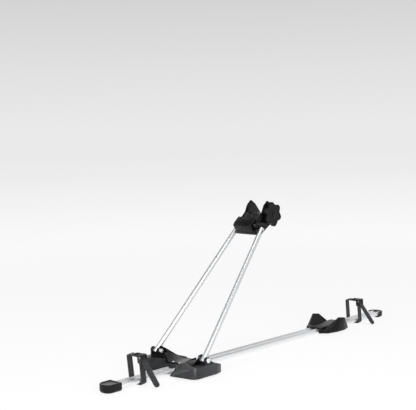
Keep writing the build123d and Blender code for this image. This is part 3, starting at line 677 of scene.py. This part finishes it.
# %% Rounded copies of the parts that show
edge_radius = {
    "rail": 0.3,
    "rear_end_cap": 0.6,
    "base_cover": 1.2,
    "base_cover_screws": 0.6,
    "left_arm": 0.25,
    "right_arm": 0.25,
    "arm_foot_bolts": 0.5,
    "arm_foot_washers": 0.3,
    "clamp_body": 1.2,
    "jaw_hinge_pin": 0.5,
    "thrust_washer": 0.2,
    "spindle_nut": 0.6,
    "lock_cylinder": 0.4,
    "near_pad": 0.6,
    "far_pad": 0.6,
    "body_pad": 0.4,
    "rear_tray": 0.7,
    "cross_plate": 0.5,
    "base_pads": 0.5,
    "tray_plate": 0.5,
}
for node, radius in edge_radius.items():
    piece = copy_part(node)
    round_edges(piece, radius)
    stand_for(piece, node)
    finish(piece, node)
print(len(edge_radius), "parts rounded")

# %% [markdown]
# ## Sunk panels
#
# Thick plastic shrinks as it cools and pulls its faces hollow, so moulders core it out. The
# housing has a sunk panel in each raked face, the front cap a dished top, and the jaw a
# hollow outside. Each panel is made by insetting the face, which leaves a border, and by
# insetting it once more while it is pushed in, which gives the wall a slope. The outlines are
# notched, so the faces are cut into triangles first: an inset of one face with many corners
# can fold over and leave a slit.


# %% Copy a part, sink its panels, and round its edges
def sink_panels(node, test, border, wall, depth, radius, segments=3):
    """Give a copy of a part sunk panels in the faces that pass the test."""
    piece = copy_part(node)
    count = pick_faces(piece, test)
    bpy.ops.mesh.quads_convert_to_tris(ngon_method="BEAUTY")
    bpy.ops.mesh.inset(thickness=border * millimetre, depth=0, use_even_offset=False)
    bpy.ops.mesh.inset(thickness=wall * millimetre, depth=-depth * millimetre, use_even_offset=False)
    leave_edit()
    round_edges(piece, radius, segments=segments)
    stand_for(piece, node)
    finish(piece, node)
    print(node, "has", count, "sunk faces and", len(piece.data.polygons), "faces")


flat = 0.9998
touch = 0.1 * millimetre
rake_lean = (-0.55, -0.48)
rake_splay = (0.2, 0.25)
jaw_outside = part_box("near_jaw")[0].y
cap_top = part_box("front_end_cap")[1].z


def is_raked(middle, normal):
    """Tell the two large raked faces of the housing by their slope."""
    leans = rake_lean[0] < normal.x < rake_lean[1]
    splays = rake_splay[0] < abs(normal.y) < rake_splay[1]
    return leans and splays and normal.z > 0


def is_cap_top(middle, normal):
    """Tell the flat top of the front cap."""
    return normal.z > flat and middle.z > cap_top - touch


def is_jaw_outside(middle, normal):
    """Tell the flat outside of the jaw."""
    return normal.y < -flat and middle.y < jaw_outside + touch


sink_panels("base_housing", is_raked, border=2.2, wall=0.8, depth=2.0, radius=0.6)
sink_panels("front_end_cap", is_cap_top, border=3.0, wall=1.5, depth=2.2, radius=0.7)
sink_panels("near_jaw", is_jaw_outside, border=4.0, wall=0.8, depth=1.5, radius=0.8, segments=2)

# %% [markdown]
# ## The star knob
#
# The knob is moulded nylon with six lobes for the fingers, a raised rim, a dished face and a
# collar round its lock. It could be cut from a disc, but a lobed shape with soft edges is
# easier to pull: one ring of 24 points is extruded from the hub at the back, over the rim and
# into the lock's hole. At each step the ring gets its own radius at the lobes, at their flanks
# and in the valleys between them. A subdivision surface then rounds it all.

# %% Knob place and steps
knob_low, knob_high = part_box("star_knob")
knob_centre = (knob_low + knob_high) / 2
knob_turn = radians(39.36)
ring_points = 24
point_angle = 360 / ring_points
points_to_lobe = 4
knob_smoothing = 2
hub = (9.0, 9.0, 9.0)
widest = (42.9, 38.0, 29.8)
knob_steps = [
    (1.4, hub),
    (0.2, tuple(radius - 4.0 for radius in widest)),
    (0.6, tuple(radius - 0.9 for radius in widest)),
    (2.0, widest),
    (8.0, widest),
    (2.2, tuple(radius - 0.7 for radius in widest)),
    (1.2, tuple(radius - 3.2 for radius in widest)),
    (0.0, tuple(radius - 5.6 for radius in widest)),
    (-1.5, tuple(radius - 7.4 for radius in widest)),
    (-0.4, tuple(radius - 9.6 for radius in widest)),
    (0.0, (13.4, 13.4, 13.4)),
    (1.5, (11.8, 11.8, 11.8)),
    (0.3, (11.0, 11.0, 11.0)),
    (0.0, (8.0, 8.0, 8.0)),
    (-0.5, (7.3, 7.3, 7.3)),
    (-7.0, (7.3, 7.3, 7.3)),
]


# %% Pull the knob ring by ring
def lobe_part(point):
    """Tell a lobe's tip (0), a flank (1) and a valley (2) by the point's angle."""
    angle = degrees(atan2(point.co.z - knob_centre.z, point.co.x - knob_centre.x) - knob_turn)
    steps = round(angle / point_angle) % points_to_lobe
    return {0: 0, 1: 1, 2: 2, 3: 1}[steps]


bpy.ops.object.select_all(action="DESELECT")
bpy.ops.mesh.primitive_circle_add(
    vertices=ring_points,
    radius=hub[0] * millimetre,
    fill_type="NGON",
    location=(knob_centre.x, knob_high.y, knob_centre.z),
    rotation=(radians(90), -knob_turn, 0),
)
knob = bpy.context.object
knob.name = "knob_shell"
bpy.ops.object.transform_apply(location=True, rotation=True, scale=True)
bpy.ops.object.mode_set(mode="EDIT")
bpy.ops.mesh.select_mode(type="VERT")
bpy.ops.mesh.select_all(action="SELECT")
last = hub
for step, radii in knob_steps:
    bpy.ops.mesh.extrude_edges_move(TRANSFORM_OT_translate={"value": (0, -step * millimetre, 0)})
    ring = {point.index for point in bmesh.from_edit_mesh(knob.data).verts if point.select}
    for kind in range(len(radii)):
        share = radii[kind] / last[kind]
        pick_points(knob, lambda point: point.index in ring and lobe_part(point) == kind)
        bpy.ops.transform.resize(value=(share, 1, share), center_override=knob_centre)
    pick_points(knob, lambda point: point.index in ring)
    last = radii
bpy.ops.mesh.edge_face_add()
bpy.ops.mesh.select_all(action="SELECT")
bpy.ops.mesh.normals_make_consistent(inside=False)
leave_edit()
smooth = knob.modifiers.new("smooth", "SUBSURF")
smooth.levels = knob_smoothing
smooth.render_levels = knob_smoothing
bpy.ops.object.modifier_apply(modifier=smooth.name)
bpy.ops.object.shade_smooth()
stand_for(knob, "star_knob")
finish(knob, "star_knob")
print("knob with", len(knob.data.polygons), "faces, size", [round(side, 4) for side in knob.dimensions])

# %% [markdown]
# ## The straps
#
# A strap is a flat rubber moulding with a raised bead along both edges, which stops it from
# tearing. A flat profile along a curve could make it too, but the solid part has the right form
# already. Its broad outward faces are inset and their middle is pushed in, so the beads stay
# proud. It leans a little to the front, so its own directions are worked out first: across its
# width, up the loop, and down the free tail. The sizes are those of the solid parts, in
# millimetres, and the places along the rail are in metres.

# %% Directions of each strap
strap_lean = {"front": radians(6.0), "rear": radians(5.0)}
strap_x = {"front": -0.557, "rear": 0.529}
tail_slope = radians(35.5)
tail_root = (-24.3, 86.0)
strap_thickness = 3.2
bead_width = 2.4
channel_wall = 0.5
channel_depth = 0.6
strap_radius = 0.45
buckle_radius = 0.6
sideways = Vector((0, 1, 0))


def strap_directions(end):
    """Directions across the strap's width and up its loop."""
    lean = strap_lean[end]
    return Vector((cos(lean), 0, sin(lean))), Vector((-sin(lean), 0, cos(lean)))


def strap_point(end, across, side, height):
    """A place on a strap, in millimetres across its width, to the side and up its loop."""
    axis, rise = strap_directions(end)
    return Vector((strap_x[end], side * millimetre, 0)) + (axis * across + rise * height) * millimetre


def tail_directions(end):
    """Directions down the tail and out of its upper face."""
    rise = strap_directions(end)[1]
    down = -sideways * sin(tail_slope) - rise * cos(tail_slope)
    out = -sideways * cos(tail_slope) + rise * sin(tail_slope)
    return down, out


# %% Sink the channels
for end in ("front", "rear"):
    node = end + "_strap"
    loop_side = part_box(node)[1].y
    tail_out = tail_directions(end)[1]
    strap = copy_part(node)

    def is_broad(middle, normal):
        """Tell the outward faces of the loop's sides and of the tail."""
        on_side = abs(normal.y) > flat and abs(abs(middle.y) - loop_side) < touch
        return on_side or normal.dot(tail_out) > flat

    count = pick_faces(strap, is_broad)
    bpy.ops.mesh.inset(thickness=bead_width * millimetre, depth=0, use_individual=True)
    bpy.ops.mesh.inset(
        thickness=channel_wall * millimetre, depth=-channel_depth * millimetre, use_individual=True
    )
    leave_edit()
    round_edges(strap, strap_radius, segments=2)
    stand_for(strap, node)
    finish(strap, node)
    for part in ("_buckle", "_buckle_lever", "_buckle_pin"):
        piece = copy_part(end + part)
        round_edges(piece, buckle_radius)
        stand_for(piece, end + part)
        finish(piece, end + part)
    print(end, "strap with", count, "channels")

# %% [markdown]
# ## Teeth, ridges and rivets
#
# The tail has a ladder of teeth that the buckle holds, and the lever has ridges for the thumb.
# Both are rows of one small form: it is made from a cube as a wedge or a bar, repeated by an
# Array modifier, and then turned into place. The lever's pin ends in two rounded rivet heads.


# %% A row of small forms
small_radius = 0.2


def row_of(name, size, lean_back, step, count, place, across, along):
    """Make one bar or wedge from a cube, repeat it against the along direction, and place the row."""
    bpy.ops.object.select_all(action="DESELECT")
    bpy.ops.mesh.primitive_cube_add(size=1)
    row = bpy.context.object
    row.name = name
    row.scale = [side * millimetre for side in size]
    bpy.ops.object.transform_apply(location=True, rotation=True, scale=True)
    bpy.ops.object.mode_set(mode="EDIT")
    bpy.ops.mesh.select_mode(type="VERT")
    pick_points(row, lambda point: point.co.y > 0 and point.co.z > 0)
    bpy.ops.transform.translate(value=(0, 0, -lean_back * millimetre))
    leave_edit()
    soft = row.modifiers.new("soft", "BEVEL")
    soft.width = small_radius * millimetre
    soft.segments = 2
    bpy.ops.object.modifier_apply(modifier=soft.name)
    repeat = row.modifiers.new("repeat", "ARRAY")
    repeat.count = count
    repeat.use_relative_offset = False
    repeat.use_constant_offset = True
    repeat.constant_offset_displace = (0, -step * millimetre, 0)
    bpy.ops.object.modifier_apply(modifier=repeat.name)
    axes = Matrix((across, along, across.cross(along))).transposed()
    row.matrix_world = Matrix.Translation(place) @ axes.to_4x4()
    only(row)
    bpy.ops.object.transform_apply(location=True, rotation=True, scale=True)
    bpy.ops.object.shade_smooth_by_angle(angle=smooth_turn)
    return row


# %% Teeth, ridges and rivet heads on both straps
tooth_size = (12.0, 3.2, 1.6)
tooth_lean = 1.0
tooth_step = 4.0
tooth_count = 17
first_tooth = 22.0
ridge_size = (14.0, 1.2, 1.2)
ridge_step = 3.0
ridge_count = 5
ridge_place = (-4.0, 92.3)
pin_place = (-33.5, 86.5)
rivet_radius = 3.0
rivet_height = 1.3
rivet_points = 28
rivet_round = 0.6
buckle_half = 12.5
for end in ("front", "rear"):
    axis, rise = strap_directions(end)
    down, out = tail_directions(end)
    root = strap_point(end, 0, *tail_root)
    first = root + (down * first_tooth + out * (strap_thickness - channel_depth)) * millimetre
    teeth = row_of(
        end + "_strap_teeth", tooth_size, tooth_lean, tooth_step, tooth_count, first, axis, -down
    )
    belongs_to(teeth, end + "_strap")
    finish(teeth, end + "_strap")
    grip = strap_point(end, 0, *ridge_place)
    ridges = row_of(
        end + "_lever_ridges", ridge_size, 0.0, ridge_step, ridge_count, grip, axis, sideways
    )
    belongs_to(ridges, end + "_buckle_lever")
    finish(ridges, end + "_buckle_lever")
    for side_name, way in (("left", -1), ("right", 1)):
        bpy.ops.object.select_all(action="DESELECT")
        bpy.ops.mesh.primitive_cylinder_add(
            vertices=rivet_points,
            radius=rivet_radius * millimetre,
            depth=rivet_height * millimetre,
            location=strap_point(end, way * (buckle_half + rivet_height / 2), *pin_place),
            rotation=axis.to_track_quat("Z", "Y").to_euler(),
        )
        rivet = bpy.context.object
        rivet.name = end + "_pin_head_" + side_name
        bpy.ops.object.transform_apply(location=True, rotation=True, scale=True)
        round_edges(rivet, rivet_round)
        belongs_to(rivet, end + "_buckle_pin")
        finish(rivet, end + "_buckle_pin")
print("teeth, ridges and rivet heads made")

# %% [markdown]
# ## Floor, backdrop and light
#
# The photograph was taken in a pale studio, where a white floor runs into a light grey wall
# with no line between them. A curved paper sweep would do that for one view. Here the floor is
# one large sheet whose colour changes with the distance from the carrier, until it has the
# colour that the world has at the horizon, so it looks the same from every side. Near the
# carrier the floor keeps its soft shadow, and a part of its colour glows for the camera and
# for reflections, which keeps it white without more light on the carrier.


# %% Floor
def fill_ramp(ramp, stops):
    """Give a colour ramp its stops, starting with the ends, which it has already."""
    for element, (position, code) in zip(ramp.elements, (stops[0], stops[-1])):
        element.position = position
        element.color = linear(code)
    for position, code in stops[1:-1]:
        ramp.elements.new(position).color = linear(code)


floor_size = 160.0
floor_material, floor_shader = new_material("studio_floor", "F2F2F2", roughness=0.9, specular=0.1)
light_path = add_node(floor_material, "ShaderNodeLightPath")
place = add_node(floor_material, "ShaderNodeTexCoord")
away = add_node(floor_material, "ShaderNodeVectorMath", {"operation": "LENGTH"}, {0: place.outputs["Object"]})
tone_reach = 24.0
tones = ((1.0, "FFFFFF"), (2.5, "FBFBFB"), (6.5, "F3F3F3"), (12.0, "EDEDED"), (tone_reach, "EAEAEA"))
distance = add_node(
    floor_material, "ShaderNodeMapRange", inputs={"Value": away.outputs["Value"], "From Max": tone_reach}
)
tone = add_node(floor_material, "ShaderNodeValToRGB", inputs={"Fac": distance.outputs["Result"]})
fill_ramp(tone.color_ramp, [(metres / tone_reach, code) for metres, code in tones])
near_share = 0.80
share_start = 0.9
share_end = 3.2
share = add_node(
    floor_material,
    "ShaderNodeMapRange",
    inputs={
        "Value": away.outputs["Value"],
        "From Min": share_start,
        "From Max": share_end,
        "To Min": near_share,
    },
)
seen = add_node(
    floor_material,
    "ShaderNodeMath",
    {"operation": "MAXIMUM"},
    {0: light_path.outputs["Is Camera Ray"], 1: light_path.outputs["Is Glossy Ray"]},
)
seen_too = add_node(
    floor_material,
    "ShaderNodeMath",
    {"operation": "MAXIMUM"},
    {0: seen.outputs["Value"], 1: light_path.outputs["Is Transmission Ray"]},
)
glow_share = add_node(
    floor_material,
    "ShaderNodeMath",
    {"operation": "MULTIPLY"},
    {0: seen_too.outputs["Value"], 1: share.outputs["Result"]},
)
glow = add_node(
    floor_material, "ShaderNodeEmission", inputs={"Color": tone.outputs["Color"], "Strength": 1.0}
)
mixed = add_node(
    floor_material,
    "ShaderNodeMixShader",
    inputs={0: glow_share.outputs["Value"], 1: floor_shader.outputs["BSDF"], 2: glow.outputs["Emission"]},
)
floor_material.node_tree.links.new(
    mixed.outputs["Shader"], floor_material.node_tree.nodes["Material Output"].inputs["Surface"]
)

bpy.ops.object.select_all(action="DESELECT")
bpy.ops.mesh.primitive_plane_add(size=floor_size, location=(0, 0, 0))
floor = bpy.context.object
floor.name = "floor"
floor.data.materials.append(floor_material)
print("floor", floor_size, "m wide")

# %% [markdown]
# The world is the wall and the ceiling of the studio. Its tone changes with the height of the
# direction that is looked in: pale at the horizon, a little darker just above it, brightest at
# the height that the rail mirrors, and dark overhead, which keeps the black plastics black. A
# picture of a room could light the carrier too, but a ramp of greys needs no file and has no
# small bright spots.

# %% World
world = bpy.data.worlds.new("studio")
bpy.context.scene.world = world
world.use_nodes = True
background = world.node_tree.nodes["Background"]
direction = add_node(world, "ShaderNodeTexCoord")
parts = add_node(world, "ShaderNodeSeparateXYZ", inputs={"Vector": direction.outputs["Generated"]})
wall = add_node(world, "ShaderNodeValToRGB", inputs={"Fac": parts.outputs["Z"]})
heights = (
    (0.0, "EAEAEA"),
    (0.06, "E2E2E2"),
    (0.14, "D3D3D3"),
    (0.22, "FFFFFF"),
    (0.45, "F2F2F2"),
    (0.7, "A0A0A0"),
    (1.0, "5A5A5A"),
)
fill_ramp(wall.color_ramp, heights)
world.node_tree.links.new(wall.outputs["Color"], background.inputs["Color"])
background.inputs["Strength"].default_value = 1.0
print("world made")

# %% [markdown]
# Four soft boxes light the carrier. Three large ones give an even light from the left, the
# front and above. The metal mirrors them, so they are wide and weak rather than small and
# bright. A low narrow strip draws the bright line on the corner of the base.


# %% Lamps
def soft_lamp(name, place, aim, width, height, power):
    """Hang a soft box and point it at a place."""
    data = bpy.data.lights.new(name, "AREA")
    data.shape = "RECTANGLE"
    data.size = width
    data.size_y = height
    data.energy = power
    lamp = bpy.data.objects.new(name, data)
    bpy.context.scene.collection.objects.link(lamp)
    lamp.location = place
    lamp.visible_camera = False
    lamp.rotation_mode = "QUATERNION"
    lamp.rotation_quaternion = (Vector(aim) - Vector(place)).to_track_quat("-Z", "Y")


middle_of_carrier = (0.0, 0.0, 0.15)
base_corner = (-0.42, -0.12, 0.02)
soft_lamp("left", (-3.4, -1.2, 1.5), middle_of_carrier, width=1.8, height=1.8, power=64)
soft_lamp("front", (-1.5, -3.1, 1.5), middle_of_carrier, width=1.8, height=1.8, power=40)
soft_lamp("top", (-0.4, -0.6, 3.2), middle_of_carrier, width=1.6, height=1.6, power=30)
soft_lamp("low strip", (-2.0, -2.6, 0.27), base_corner, width=0.08, height=0.40, power=60)
bpy.context.scene.view_settings.view_transform = "Standard"
print("four soft boxes")
